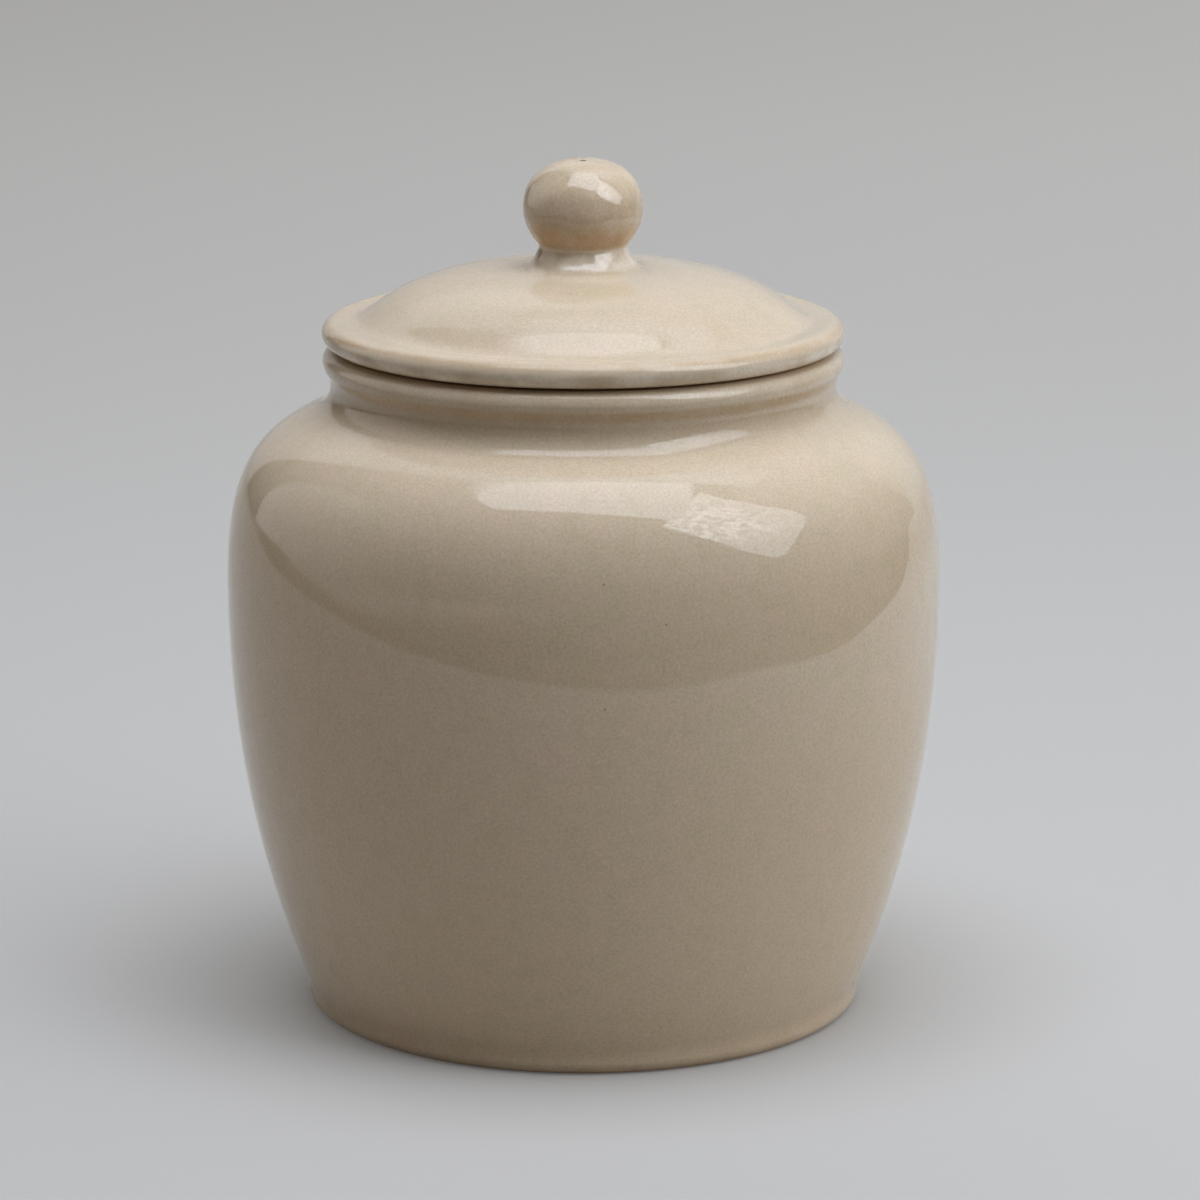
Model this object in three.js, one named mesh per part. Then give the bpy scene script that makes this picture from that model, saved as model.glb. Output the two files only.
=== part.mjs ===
// A lidded stoneware storage jar: a thrown jar, a drop-on lid with a locating flange under it, and a hollow
// ball knob that is luted into a shallow seat on the lid and vented by a pin hole.
// Millimetres, +Z up. The origin is the centre of the circle that the jar stands on.
import * as THREE from "three";

// Jar: the foot
const FOOT_RADIUS = 82.3; // the upright band just above the table
const FOOT_EDGE_ROUND = 3.5; // rounding between that band and the ring that it stands on
const FOOT_RING_WIDTH = 8; // flat, unglazed ring that carries the jar
const FOOT_RECESS_DEPTH = 3; // turned away inside the ring
const FOOT_RECESS_DRAFT = 1.5; // how far the recess wall leans in

// Jar: the wall
const BELLY_RADIUS = 105;
const LOWER_WALL_HEIGHT = 123.5; // from the foot's rounding up to the belly
const SHOULDER_HEIGHT = 53.3; // from the belly up to where the neck's fillet starts
const SHOULDER_SLOPE = THREE.MathUtils.degToRad(22.5); // of the shoulder where it runs into the neck
const NECK_RADIUS = 73;
const NECK_FILLET = 6.2;
const WALL = 6.5;
const FLOOR_THICKNESS = 9;
const FLOOR_FILLET = 14; // inside, between floor and wall

// How full the wall's curves are, as shares of the stretch that each one spans
const FOOT_UPRIGHT = 0.055;
const BELLY_FULLNESS = 0.527;
const SHOULDER_FULLNESS = 0.722;
const SHOULDER_REACH = 0.62;

// Jar: the beaded rim that the lid rests on
const RIM_SWELL = 3.3; // how far the bead stands out past the neck
const RIM_SWELL_HEIGHT = 7.3; // from the neck up to the bead's widest circle
const RIM_ROUND_HEIGHT = 3.9; // from there up to the seat
const RIM_ROUND_WIDTH = 3.5;
const MOUTH_EDGE_ROUND = 1.6; // rounding between the seat and the inside of the mouth

// Lid
const LID_OVERHANG = 0.15; // past the rim's bead
const LID_EDGE_LOWER_HEIGHT = 4.8; // from the seat up to the lid's widest circle
const LID_EDGE_UPPER_HEIGHT = 3.4; // from there up to the lip
const LID_EDGE_UPPER_WIDTH = 1.85;
const LID_BORDER_WIDTH = 6.45; // from the widest circle in to the gutter
const GUTTER_DIP = 0.9; // gutter below the lip
const DOME_RISE = 15.65; // from the gutter up to the knob's seat
const DOME_FOOT_REACH = 0.12; // how far the dome's foot runs in level, as a share of its span
const DOME_CROWN_REACH = 0.787; // how far its crown runs out level, likewise
const LID_WALL = 6;
const FLANGE_CLEARANCE = 1.2; // between the locating flange and the mouth, on the radius
const FLANGE_WALL = 5.5;
const FLANGE_DEPTH = 9; // below the seat
const HOLLOW_FILLET = 2.5; // between the flange and the underside of the dome

// Knob
const KNOB_RADIUS = 17.6;
const KNOB_UPPER_HEIGHT = 15.1; // from the widest circle to the top
const KNOB_LOWER_HEIGHT = 11.6; // from the neck's waist to the widest circle
const KNOB_CROWN_FULLNESS = 0.63; // a circle's would be 0.552
const KNOB_UNDER_FULLNESS = 0.56;
const KNOB_WAIST_FULLNESS = 0.11;
const KNOB_NECK_RADIUS = 12.8;
const KNOB_FOOT_RADIUS = 17;
const KNOB_FOOT_HEIGHT = 5.2; // from the lid's crown up to the neck's waist
const KNOB_SEAT_DEPTH = 0.8; // sunk into the lid's crown
const KNOB_SEAT_CLEARANCE = 0.3; // on the radius, filled with slip when it is luted
const KNOB_WALL = 5;
const VENT_RADIUS = 0.9;

// Facets round the axis and along each curve of a profile
const POT_SIDES = 48;
const KNOB_SIDES = 30;
const LONG_CURVE_STEPS = 12;
const MIDDLE_CURVE_STEPS = 8;
const SHORT_CURVE_STEPS = 4;
const SAME_POINT = 0.01; // points nearer than this are one

// Glaze
const JAR_COLOUR = 0xb0a28c;
const LID_COLOUR = 0xb9ab95;
const KNOB_COLOUR = 0xb5a58c;
const GLAZE_FINISH = { roughness: 0.18, metalness: 0 };

// Heights and radii that follow from the sizes above
const BELLY_Z = FOOT_EDGE_ROUND + LOWER_WALL_HEIGHT;
const SHOULDER_END_Z = BELLY_Z + SHOULDER_HEIGHT;
const SHOULDER_END_RADIUS = NECK_RADIUS + NECK_FILLET * (1 - Math.sin(SHOULDER_SLOPE));
const NECK_Z = SHOULDER_END_Z + NECK_FILLET * Math.cos(SHOULDER_SLOPE);
const BEAD_Z = NECK_Z + RIM_SWELL_HEIGHT;
const SEAT_Z = BEAD_Z + RIM_ROUND_HEIGHT;
const RIM_RADIUS = NECK_RADIUS + RIM_SWELL;
const SEAT_RADIUS = RIM_RADIUS - RIM_ROUND_WIDTH;
const MOUTH_RADIUS = NECK_RADIUS - WALL;
const FLOOR_Z = FOOT_RECESS_DEPTH + FLOOR_THICKNESS;
const LID_RADIUS = RIM_RADIUS + LID_OVERHANG;
const LIP_HEIGHT = LID_EDGE_LOWER_HEIGHT + LID_EDGE_UPPER_HEIGHT;
const GUTTER_RADIUS = LID_RADIUS - LID_BORDER_WIDTH;
const GUTTER_HEIGHT = LIP_HEIGHT - GUTTER_DIP;
const CROWN_HEIGHT = GUTTER_HEIGHT + DOME_RISE;
const KNOB_SEAT_HEIGHT = CROWN_HEIGHT - KNOB_SEAT_DEPTH;
const KNOB_SEAT_RADIUS = KNOB_FOOT_RADIUS + KNOB_SEAT_CLEARANCE;
const FLANGE_RADIUS = MOUTH_RADIUS - FLANGE_CLEARANCE;
const FLANGE_INNER_RADIUS = FLANGE_RADIUS - FLANGE_WALL;

const QUARTER = Math.PI / 2;
const HALF = Math.PI;

// Profiles lie in the plane of radius (x) and height (y), with the clay on the left of the way they run.
const at = (radius, height) => new THREE.Vector2(radius, height);

function bezier(start, startPull, endPull, end, steps) {
  return new THREE.CubicBezierCurve(start, startPull, endPull, end).getPoints(steps);
}

function arc(centre, width, height, from, to, steps = SHORT_CURVE_STEPS) {
  return new THREE.EllipseCurve(centre.x, centre.y, width, height, from, to, to < from).getPoints(steps);
}

function fillet(start, corner, end) {
  return new THREE.QuadraticBezierCurve(start, corner, end).getPoints(SHORT_CURVE_STEPS);
}

// Stretches laid end to end, each shared point kept once.
function joined(...stretches) {
  const isNew = (point, i, all) => i === 0 || point.distanceTo(all[i - 1]) > SAME_POINT;
  return stretches.flat().filter(isNew);
}

// The stretch of a profile past a radius (x) or a height (y), starting exactly there.
function past(points, coordinate, value) {
  const startsBelow = points[0][coordinate] < value;
  const i = points.findIndex((point) => point[coordinate] < value !== startsBelow);
  const [last, next] = [points[i - 1], points[i]];
  const share = (value - last[coordinate]) / (next[coordinate] - last[coordinate]);
  return [last.clone().lerp(next, share), ...points.slice(i)];
}

// A profile moved towards its left by the wall's thickness, square to itself at each point.
function shellInside(points, thickness) {
  return points.map((point, i) => {
    const before = points[Math.max(i - 1, 0)];
    const after = points[Math.min(i + 1, points.length - 1)];
    const along = after.clone().sub(before).normalize();
    return at(point.x - along.y * thickness, point.y + along.x * thickness);
  });
}

function revolve(profile, sides) {
  return new THREE.LatheGeometry(profile, sides).rotateX(QUARTER);
}

// Jar, from the middle of its underside, up the outside, over the rim and down the inside to the floor.
function jarProfile() {
  const ringOuter = FOOT_RADIUS - FOOT_EDGE_ROUND;
  const ringInner = ringOuter - FOOT_RING_WIDTH;
  const underside = [
    at(0, FOOT_RECESS_DEPTH),
    at(ringInner - FOOT_RECESS_DRAFT, FOOT_RECESS_DEPTH),
    at(ringInner, 0),
  ];
  const footEdge = arc(at(ringOuter, FOOT_EDGE_ROUND), FOOT_EDGE_ROUND, FOOT_EDGE_ROUND, -QUARTER, 0);
  const lowerWall = bezier(
    at(FOOT_RADIUS, FOOT_EDGE_ROUND),
    at(FOOT_RADIUS, FOOT_EDGE_ROUND + FOOT_UPRIGHT * LOWER_WALL_HEIGHT),
    at(BELLY_RADIUS, BELLY_Z - BELLY_FULLNESS * LOWER_WALL_HEIGHT),
    at(BELLY_RADIUS, BELLY_Z),
    LONG_CURVE_STEPS,
  );
  const reach = SHOULDER_REACH * (BELLY_RADIUS - SHOULDER_END_RADIUS);
  const shoulder = bezier(
    at(BELLY_RADIUS, BELLY_Z),
    at(BELLY_RADIUS, BELLY_Z + SHOULDER_FULLNESS * SHOULDER_HEIGHT),
    at(SHOULDER_END_RADIUS + reach, SHOULDER_END_Z - reach * Math.tan(SHOULDER_SLOPE)),
    at(SHOULDER_END_RADIUS, SHOULDER_END_Z),
    MIDDLE_CURVE_STEPS,
  );
  const filletCentre = at(NECK_RADIUS + NECK_FILLET, NECK_Z);
  const neckFillet = arc(filletCentre, NECK_FILLET, NECK_FILLET, -QUARTER - SHOULDER_SLOPE, -HALF);
  const outside = joined(lowerWall, shoulder, neckFillet);

  const halfSwell = RIM_SWELL_HEIGHT / 2;
  const bead = bezier(
    at(NECK_RADIUS, NECK_Z),
    at(NECK_RADIUS, NECK_Z + halfSwell),
    at(RIM_RADIUS, BEAD_Z - halfSwell),
    at(RIM_RADIUS, BEAD_Z),
    SHORT_CURVE_STEPS,
  );
  const beadTop = arc(at(SEAT_RADIUS, BEAD_Z), RIM_ROUND_WIDTH, RIM_ROUND_HEIGHT, 0, QUARTER);
  const mouthEdgeCentre = at(MOUTH_RADIUS + MOUTH_EDGE_ROUND, SEAT_Z - MOUTH_EDGE_ROUND);
  const mouthEdge = arc(mouthEdgeCentre, MOUTH_EDGE_ROUND, MOUTH_EDGE_ROUND, QUARTER, HALF);

  const inside = past(shellInside(outside, WALL), "y", FLOOR_Z + FLOOR_FILLET);
  const [wallFoot, above] = inside;
  const lean = (above.x - wallFoot.x) / (above.y - wallFoot.y);
  const corner = at(wallFoot.x - lean * (wallFoot.y - FLOOR_Z), FLOOR_Z);
  const floorStart = at(corner.x - FLOOR_FILLET, FLOOR_Z);
  const floorFillet = fillet(wallFoot, corner, floorStart);
  const hollow = joined(mouthEdge, inside.toReversed(), floorFillet, [at(0, FLOOR_Z)]);
  return joined(underside, footEdge, outside, bead, beadTop, hollow);
}

// The lid's upper side, from the gutter in to the rim of the knob's seat. Heights are above the jar's rim.
function domeProfile() {
  const span = GUTTER_RADIUS - KNOB_SEAT_RADIUS;
  return bezier(
    at(GUTTER_RADIUS, GUTTER_HEIGHT),
    at(GUTTER_RADIUS - DOME_FOOT_REACH * span, GUTTER_HEIGHT),
    at(KNOB_SEAT_RADIUS + DOME_CROWN_REACH * span, CROWN_HEIGHT),
    at(KNOB_SEAT_RADIUS, CROWN_HEIGHT),
    LONG_CURVE_STEPS,
  );
}

// Lid, from the middle of its hollow, round the flange, over the edge and up the dome to the knob's seat.
function lidProfile() {
  const dome = domeProfile();
  const domeUnderside = dome.map((point) => at(point.x, point.y - LID_WALL));
  const [corner] = past(domeUnderside, "x", FLANGE_INNER_RADIUS);
  const hollow = past(domeUnderside, "x", FLANGE_INNER_RADIUS - HOLLOW_FILLET);
  const filletEnd = at(corner.x, corner.y - HOLLOW_FILLET);
  const hollowFillet = fillet(hollow[0], corner, filletEnd);
  const tipRadius = FLANGE_WALL / 2;
  const tipCentre = at(FLANGE_INNER_RADIUS + tipRadius, tipRadius - FLANGE_DEPTH);
  const flangeTip = arc(tipCentre, tipRadius, tipRadius, -HALF, 0, MIDDLE_CURVE_STEPS);
  const seat = [at(FLANGE_RADIUS, 0), at(SEAT_RADIUS, 0)];
  const edgeCentre = LID_EDGE_LOWER_HEIGHT;
  const lowerEdge = arc(at(SEAT_RADIUS, edgeCentre), LID_RADIUS - SEAT_RADIUS, edgeCentre, -QUARTER, 0);
  const upperCentre = at(LID_RADIUS - LID_EDGE_UPPER_WIDTH, edgeCentre);
  const upperEdge = arc(upperCentre, LID_EDGE_UPPER_WIDTH, LID_EDGE_UPPER_HEIGHT, 0, QUARTER);
  const knobSeat = [at(KNOB_SEAT_RADIUS, KNOB_SEAT_HEIGHT), at(0, KNOB_SEAT_HEIGHT)];
  const hollowCrown = at(0, CROWN_HEIGHT - LID_WALL);
  const underside = joined([hollowCrown], hollow.toReversed(), hollowFillet, flangeTip, seat);
  return joined(underside, lowerEdge, upperEdge, dome, knobSeat);
}

// Knob, from the middle of its foot, out and up the neck, over the ball to the vent and down into its hollow.
function knobProfile() {
  const waistZ = CROWN_HEIGHT + KNOB_FOOT_HEIGHT;
  const ballZ = waistZ + KNOB_LOWER_HEIGHT;
  const topZ = ballZ + KNOB_UPPER_HEIGHT;
  const flareWidth = KNOB_FOOT_RADIUS - KNOB_NECK_RADIUS;
  const foot = [at(0, KNOB_SEAT_HEIGHT), at(KNOB_FOOT_RADIUS, KNOB_SEAT_HEIGHT)];
  const flare = arc(at(KNOB_FOOT_RADIUS, waistZ), flareWidth, KNOB_FOOT_HEIGHT, -QUARTER, -HALF);
  const under = bezier(
    at(KNOB_NECK_RADIUS, waistZ),
    at(KNOB_NECK_RADIUS, waistZ + KNOB_WAIST_FULLNESS * KNOB_LOWER_HEIGHT),
    at(KNOB_RADIUS, ballZ - KNOB_UNDER_FULLNESS * KNOB_LOWER_HEIGHT),
    at(KNOB_RADIUS, ballZ),
    MIDDLE_CURVE_STEPS,
  );
  const crown = bezier(
    at(KNOB_RADIUS, ballZ),
    at(KNOB_RADIUS, ballZ + KNOB_CROWN_FULLNESS * KNOB_UPPER_HEIGHT),
    at(VENT_RADIUS + KNOB_CROWN_FULLNESS * (KNOB_RADIUS - VENT_RADIUS), topZ),
    at(VENT_RADIUS, topZ),
    MIDDLE_CURVE_STEPS,
  );
  const hollowRadius = KNOB_RADIUS - KNOB_WALL;
  const hollowRise = KNOB_UPPER_HEIGHT - KNOB_WALL;
  const hollowDrop = KNOB_LOWER_HEIGHT - KNOB_WALL;
  const ventAngle = Math.acos(VENT_RADIUS / hollowRadius);
  const hollowTop = arc(at(0, ballZ), hollowRadius, hollowRise, ventAngle, 0);
  const hollowFloor = arc(at(0, ballZ), hollowRadius, hollowDrop, 0, -QUARTER);
  hollowFloor.at(-1).x = 0; // exactly on the axis
  return joined(foot, flare, under, crown, hollowTop, hollowFloor);
}

function piece(name, profile, sides, colour) {
  const material = new THREE.MeshStandardMaterial({ color: colour, ...GLAZE_FINISH });
  const mesh = new THREE.Mesh(revolve(profile, sides), material);
  mesh.name = name;
  return mesh;
}

// The lid's pieces are drawn above the jar's rim, so the group that lifts off sits at the height of the seat.
const liftOffLid = new THREE.Group();
liftOffLid.position.z = SEAT_Z;
liftOffLid.add(
  piece("lid", lidProfile(), POT_SIDES, LID_COLOUR),
  piece("lid_knob", knobProfile(), KNOB_SIDES, KNOB_COLOUR),
);

const liddedJar = new THREE.Group();
liddedJar.add(piece("jar_body", jarProfile(), POT_SIDES, JAR_COLOUR), liftOffLid);

export default liddedJar;
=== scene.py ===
# %% [markdown]
# # A lidded storage jar
#
# The real jar is thrown stoneware: a round-bellied body with a beaded rim, and a domed lid with a ball
# knob that only rests on the rim. Everything on it was turned on a wheel, so each piece here is one
# outline carried round the axis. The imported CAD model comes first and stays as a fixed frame: every piece
# below stands for one of its nodes, rides on one of its bodies and takes its main sizes from it.

import bpy
import numpy as np
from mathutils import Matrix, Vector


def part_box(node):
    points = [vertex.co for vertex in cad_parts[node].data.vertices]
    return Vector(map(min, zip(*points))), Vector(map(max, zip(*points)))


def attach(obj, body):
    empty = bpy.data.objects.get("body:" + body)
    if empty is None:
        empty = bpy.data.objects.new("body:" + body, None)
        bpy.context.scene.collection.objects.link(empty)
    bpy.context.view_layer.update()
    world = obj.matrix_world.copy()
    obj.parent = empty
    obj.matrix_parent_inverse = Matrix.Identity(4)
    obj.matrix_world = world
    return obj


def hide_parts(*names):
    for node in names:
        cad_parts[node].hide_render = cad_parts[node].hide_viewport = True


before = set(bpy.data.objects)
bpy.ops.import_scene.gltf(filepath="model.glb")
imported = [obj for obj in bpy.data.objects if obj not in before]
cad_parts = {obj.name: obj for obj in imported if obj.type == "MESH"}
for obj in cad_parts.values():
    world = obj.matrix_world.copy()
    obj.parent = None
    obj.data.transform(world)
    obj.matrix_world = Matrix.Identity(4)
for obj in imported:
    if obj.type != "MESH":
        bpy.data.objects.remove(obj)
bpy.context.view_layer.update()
MM = 0.001

# %% [markdown]
# ## Outlines
#
# A potter draws a pot as half of its section: radius across, height up. Such an outline is made here of a
# few Bezier curves and arcs, in millimetres, laid end to end with the clay on the left of the way it
# runs. A lathe in another program would do the same, but plain arrays also carry the marks that the glaze
# reads later.


# %% Curves of an outline
def bezier(start, start_pull, end_pull, end, steps):
    """A cubic Bezier: its four points weighted by (1-t)^3, 3t(1-t)^2, 3t^2(1-t) and t^3, t from 0 to 1."""
    t = np.linspace(0, 1, steps + 1)[:, None]
    near = (1 - t) ** 3 * np.array(start) + 3 * t * (1 - t) ** 2 * np.array(start_pull)
    far = 3 * t**2 * (1 - t) * np.array(end_pull) + t**3 * np.array(end)
    return near + far


def arc(centre, width, height, start, end, steps):
    """Part of an ellipse: the centre plus (width cos a, height sin a), a in degrees from start to end."""
    a = np.radians(np.linspace(start, end, steps + 1))
    return np.column_stack([centre[0] + width * np.cos(a), centre[1] + height * np.sin(a)])


def corner(before, tip, after, steps):
    """A rounded corner: the quadratic Bezier (1-t)^2 before + 2t(1-t) tip + t^2 after."""
    t = np.linspace(0, 1, steps + 1)[:, None]
    return (1 - t) ** 2 * np.array(before) + 2 * t * (1 - t) * np.array(tip) + t**2 * np.array(after)


def straight(start, end, steps):
    """Evenly spaced points from start to end."""
    t = np.linspace(0, 1, steps + 1)[:, None]
    return (1 - t) * np.array(start) + t * np.array(end)


def joined(*curves):
    """Curves laid end to end, with the point that two of them share kept once."""
    points = np.vstack(curves)
    step = np.hypot(*np.diff(points, axis=0).T)
    return points[np.append(True, step > 0.01)]


def inset(points, wall):
    """Each point moved to its left, square to the curve there, by the wall's thickness."""
    along = np.gradient(points, axis=0)
    along /= np.linalg.norm(along, axis=1)[:, None]
    return points + wall * np.column_stack([-along[:, 1], along[:, 0]])


# %% [markdown]
# ## Where glaze runs thin, where it pools, and where shade and light are painted
#
# Molten glaze creeps off sharp edges, where the clay shows through warm and tan, and gathers in hollows,
# where it is thicker and paler. Each piece says where its edges, hollows and bare rings lie by soft steps
# of height and radius along its outline. They are kept on the mesh as attributes that the glaze reads.
# Painting them by hand would be slower and less exact. The same marks also paint light and shade: the tan
# in the hollow under the jar's bead is painted shade, the extra tan under the knob's ball is partly painted
# shade, and the pale pool on the knob's flare and on the lower face of the lid's edge is partly painted
# light.


# %% A soft step
def ease(value, low, high):
    """0 below low, 1 above high, and 3t^2 - 2t^3 between them."""
    t = np.clip((value - low) / (high - low), 0, 1)
    return t * t * (3 - 2 * t)


# %% [markdown]
# ## The wheel
#
# One function turns an outline into a closed mesh. It works on whole arrays, and where the outline meets
# the axis it closes the surface with a ring of triangles. Thrown clay is never quite true, so the radius
# may take a small push that depends on the angle and the height.


# %% Turn an outline on the wheel
def thrown(name, profile, sides, push=None, **marks):
    """Carries the outline round Z: x = r cos a, y = r sin a, z = height, with r the radius plus its push.

    An end on the axis becomes one pole. The marks are values along the outline, stored on every vertex.
    """
    inner = profile[:, 0] > 1e-6
    ring = profile[inner]
    angle = np.arange(sides) * 2 * np.pi / sides
    radius = ring[:, :1] + (push(angle[None, :], ring[:, 1:]) if push else 0) + 0 * angle
    height = ring[:, 1:] + 0 * angle
    points = np.stack([radius * np.cos(angle), radius * np.sin(angle), height], axis=-1).reshape(-1, 3)
    row = np.arange(len(points)).reshape(-1, sides)
    beside = np.roll(row, -1, axis=1)
    quads = np.stack([row[:-1], beside[:-1], beside[1:], row[1:]], axis=-1).reshape(-1, 4)
    faces = quads.tolist()
    values = {key: np.repeat(mark[inner], sides) for key, mark in marks.items()}
    for end, order in ((0, (2, 1, 0)), (-1, (0, 1, 2))):
        if inner[end]:
            continue
        pole = np.full(sides, len(points))
        points = np.vstack([points, [0, 0, profile[end, 1]]])
        fan = np.stack([row[end], beside[end], pole])
        faces += np.stack([fan[i] for i in order], axis=-1).tolist()
        values = {key: np.append(value, marks[key][end]) for key, value in values.items()}
    mesh = bpy.data.meshes.new(name)
    mesh.from_pydata((points * MM).tolist(), [], faces)
    mesh.shade_smooth()
    for key, value in values.items():
        mesh.attributes.new(key, "FLOAT", "POINT").data.foreach_set("value", value.astype(np.float32))
    piece = bpy.data.objects.new(name, mesh)
    bpy.context.scene.collection.objects.link(piece)
    print(name, len(ring), "rings of", sides, "points,", sum(len(face) - 2 for face in faces), "triangles")
    return piece


# %% [markdown]
# ## The jar's body
#
# One piece of clay from foot ring to rim: a soft rolled foot, a wall that swells to the belly, a round
# shoulder, a short neck and a beaded rim with a flat seat for the lid. The belly, the height and the seat
# come from the frame.

# %% Sizes of the jar, in millimetres
_, jar_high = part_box("jar_body")
BELLY_RADIUS = jar_high.x / MM
SEAT_Z = jar_high.z / MM
FOOT_RADIUS = 82.5
FOOT_EDGE = 3.7
FOOT_TOP = 9.5
FOOT_WAIST = 83.6
FOOT_LEAN = 0.385
FOOT_EDGE_PULL = 2.2
FOOT_WAIST_PULL = 2.5
FOOT_RING = 8.0
RING_CHAMFER = 1.4
RING_ROUND = 1.2
FOOT_RECESS = 3.0
RECESS_LEAN = 1.5
RECESS_ROUND = 2.0
BELLY_Z = 127.0
WALL_FOOT_PULL = 0.18
WALL_BELLY_PULL = 0.50
NECK_RADIUS = 73.0
NECK_FILLET = 8.2
RIM_RADIUS = 76.3
BEAD_Z = 193.0
BEAD_FOOT_Z = 191.4
BEAD_LEAN = 0.54
BEAD_ROUND = 0.8
BEAD_INSET = 0.3
RIM_ROUND = 3.0
SEAT_RADIUS = 71.0
SEAT_GAP = 0.55
SEAT_ROUND = 1.2
MOUTH_EDGE = 1.6
WALL = 6.5
FLOOR_Z = 12.0
FLOOR_FILLET = 14.0
FLOOR_LEAN = 3.0
SHOULDER_SLOPE = np.radians(24.7)
SHOULDER_END = np.array([80.4, 177.85])
SHOULDER_PULL = 0.692
SHOULDER_REACH = 0.62
SHOULDER_STOP = 0.2
MOUTH_RADIUS = NECK_RADIUS - WALL
print("belly", round(BELLY_RADIUS, 2), "seat", round(SEAT_Z, 2), "mm")


# %% Outline of the jar
def jar_outside():
    """From the foot's roll to the neck: two Beziers that meet at the belly, then the hollow neck's arc."""
    wall_height = BELLY_Z - FOOT_TOP
    foot_pull = WALL_FOOT_PULL * wall_height
    lower_wall = bezier(
        (FOOT_WAIST, FOOT_TOP),
        (FOOT_WAIST + FOOT_LEAN * foot_pull, FOOT_TOP + foot_pull),
        (BELLY_RADIUS, BELLY_Z - WALL_BELLY_PULL * wall_height),
        (BELLY_RADIUS, BELLY_Z),
        110,
    )
    reach = SHOULDER_REACH * (BELLY_RADIUS - SHOULDER_END[0])
    shoulder_height = SHOULDER_END[1] - BELLY_Z
    shoulder = bezier(
        (BELLY_RADIUS, BELLY_Z),
        (BELLY_RADIUS, BELLY_Z + SHOULDER_PULL * shoulder_height),
        SHOULDER_END + (reach, -reach * np.tan(SHOULDER_SLOPE)),
        SHOULDER_END,
        90,
    )
    lean = np.arctan(BEAD_LEAN)
    inward = np.array([-np.cos(SHOULDER_SLOPE), np.sin(SHOULDER_SLOPE)])
    upward = np.array([np.sin(lean), np.cos(lean)])
    bead_foot = np.array([RIM_RADIUS - BEAD_INSET, BEAD_FOOT_Z])
    to_tip, _ = np.linalg.solve(np.column_stack([inward, -upward]), bead_foot - SHOULDER_END)
    turn = np.pi / 2 - SHOULDER_SLOPE + lean
    before_tip = to_tip - NECK_FILLET * np.tan(turn / 2)
    square = np.array([np.sin(SHOULDER_SLOPE), np.cos(SHOULDER_SLOPE)])
    fillet_centre = SHOULDER_END + before_tip * inward + NECK_FILLET * square
    first = 270 - np.degrees(SHOULDER_SLOPE)
    fillet = arc(fillet_centre, NECK_FILLET, NECK_FILLET, first, 180 - np.degrees(lean), 24)
    shoulder = shoulder[shoulder[:, 0] > fillet[0, 0] + SHOULDER_STOP]
    return joined(lower_wall, shoulder, fillet)


def rim(neck):
    """Up the bead's cone, over its rounded side, across the gap below the lid and onto the flat seat."""
    bead_foot = (RIM_RADIUS - BEAD_INSET, BEAD_FOOT_Z)
    cone = straight(neck, bead_foot - BEAD_ROUND * np.array([BEAD_LEAN, 1]), 8)
    bead_round = corner(cone[-1], bead_foot, (RIM_RADIUS, BEAD_Z), 8)
    top_centre = (RIM_RADIUS - RIM_ROUND, BEAD_Z)
    bead_top = arc(top_centre, RIM_ROUND, SEAT_Z - SEAT_GAP - BEAD_Z, 0, 80, 14)
    gap = corner(bead_top[-1], (SEAT_RADIUS + SEAT_ROUND, SEAT_Z), (SEAT_RADIUS, SEAT_Z), 6)
    mouth_centre = (MOUTH_RADIUS + MOUTH_EDGE, SEAT_Z - MOUTH_EDGE)
    mouth = arc(mouth_centre, MOUTH_EDGE, MOUTH_EDGE, 90, 180, 8)
    return joined(cone, bead_round, bead_top, gap, mouth)


def jar_outline():
    """Underside, foot ring, outside, rim, inside wall and floor, from axis to axis."""
    ring_outer = FOOT_RADIUS - FOOT_EDGE
    ring_inner = ring_outer - FOOT_RING
    recess_edge = ring_inner - RECESS_LEAN
    recess_end = (recess_edge - RECESS_ROUND, FOOT_RECESS)
    ring_side = (ring_inner - RING_CHAMFER / 2, RING_CHAMFER)
    ring_start = (ring_inner + RING_ROUND, 0)
    recess = straight((0, FOOT_RECESS), recess_end, 24)
    recess_corner = corner(recess_end, (recess_edge, FOOT_RECESS), ring_side, 5)
    ring_corner = corner(ring_side, (ring_inner, 0), ring_start, 5)
    ring = straight(ring_start, (ring_outer, 0), 6)
    foot_edge = arc((ring_outer, FOOT_EDGE), FOOT_EDGE, FOOT_EDGE, -90, 0, 12)
    foot_roll = bezier(
        (FOOT_RADIUS, FOOT_EDGE),
        (FOOT_RADIUS, FOOT_EDGE + FOOT_EDGE_PULL),
        (FOOT_WAIST - FOOT_LEAN * FOOT_WAIST_PULL, FOOT_TOP - FOOT_WAIST_PULL),
        (FOOT_WAIST, FOOT_TOP),
        14,
    )
    outside = jar_outside()
    inside = inset(outside, WALL)[::-1]
    inside = inside[inside[:, 1] > FLOOR_Z + FLOOR_FILLET][::3]
    foot_of_wall = inside[-1]
    floor_corner = (foot_of_wall[0] - FLOOR_LEAN, FLOOR_Z)
    floor_start = (floor_corner[0] - FLOOR_FILLET, FLOOR_Z)
    floor_fillet = corner(foot_of_wall, floor_corner, floor_start, 12)
    floor = straight(floor_start, (0, FLOOR_Z), 24)
    underside = joined(recess, recess_corner, ring_corner, ring, foot_edge, foot_roll)
    return joined(underside, outside, rim(outside[-1]), inside, floor_fillet, floor)


# %% Throw the jar
JAR_SIDES = 216
OVAL = 0.12
OVAL_BY_THREES = 0.07
FINGER_DEPTH = 0.008
FINGER_PITCH = 13
PUSH_FADE = 30
THROAT_SHADE = 0.7
BEAD_POOL = 0.5


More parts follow.
